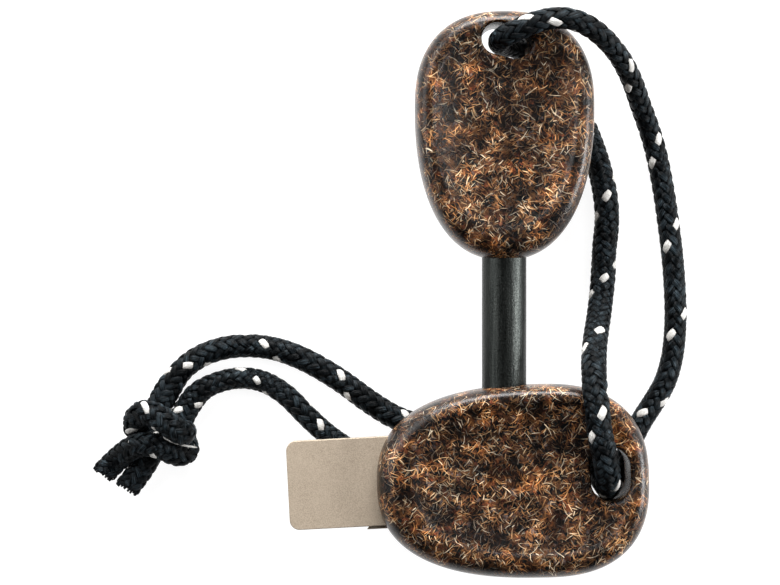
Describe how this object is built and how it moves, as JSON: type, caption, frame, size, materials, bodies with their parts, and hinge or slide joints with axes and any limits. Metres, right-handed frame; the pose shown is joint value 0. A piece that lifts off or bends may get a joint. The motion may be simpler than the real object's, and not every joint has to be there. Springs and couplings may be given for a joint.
{
  "type": "ferro rod fire starter",
  "caption": "Ferro rod in a pebble handle that parks in a second pebble handle holding a steel striker plate, tied together by a knotted lanyard.",
  "frame": {"origin": "middle of the box around the two handles, the rod and the plate", "axes": "+Y along the rod, from the striker handle towards the rod handle; +Z out of the front faces; +X away from the striker plate, towards the lanyard side"},
  "size_m": [0.1082, 0.1015, 0.0227],
  "materials": {
    "composite": "semi-gloss wood-fibre composite, tan and orange fibres in dark brown",
    "ferro": "dark charcoal, fine drawn surface",
    "adhesive": "clear amber epoxy",
    "steel": "fine bead-blasted stainless",
    "braid": "black polyester braid with white tracer yarns",
    "core": "straight black core yarns"
  },
  "bodies": {
    "striker_unit": {"striker_handle": "composite", "striker_plate": "steel", "lanyard_feed": "braid", "lanyard_return": "braid", "lanyard_knot": "braid", "lanyard_end_a": "braid", "lanyard_end_b": "braid", "lanyard_core_a": "core", "lanyard_core_b": "core"},
    "rod_unit": {"rod_handle": "composite", "ferro_rod": "ferro", "rod_adhesive": "adhesive", "lanyard_loop": "braid"}
  },
  "joints": [
    {"name": "rod_slide", "type": "slide", "parent": "striker_unit", "child": "rod_unit", "axis": [0, 1, 0], "range_m": [0, 0.03]}
  ]
}
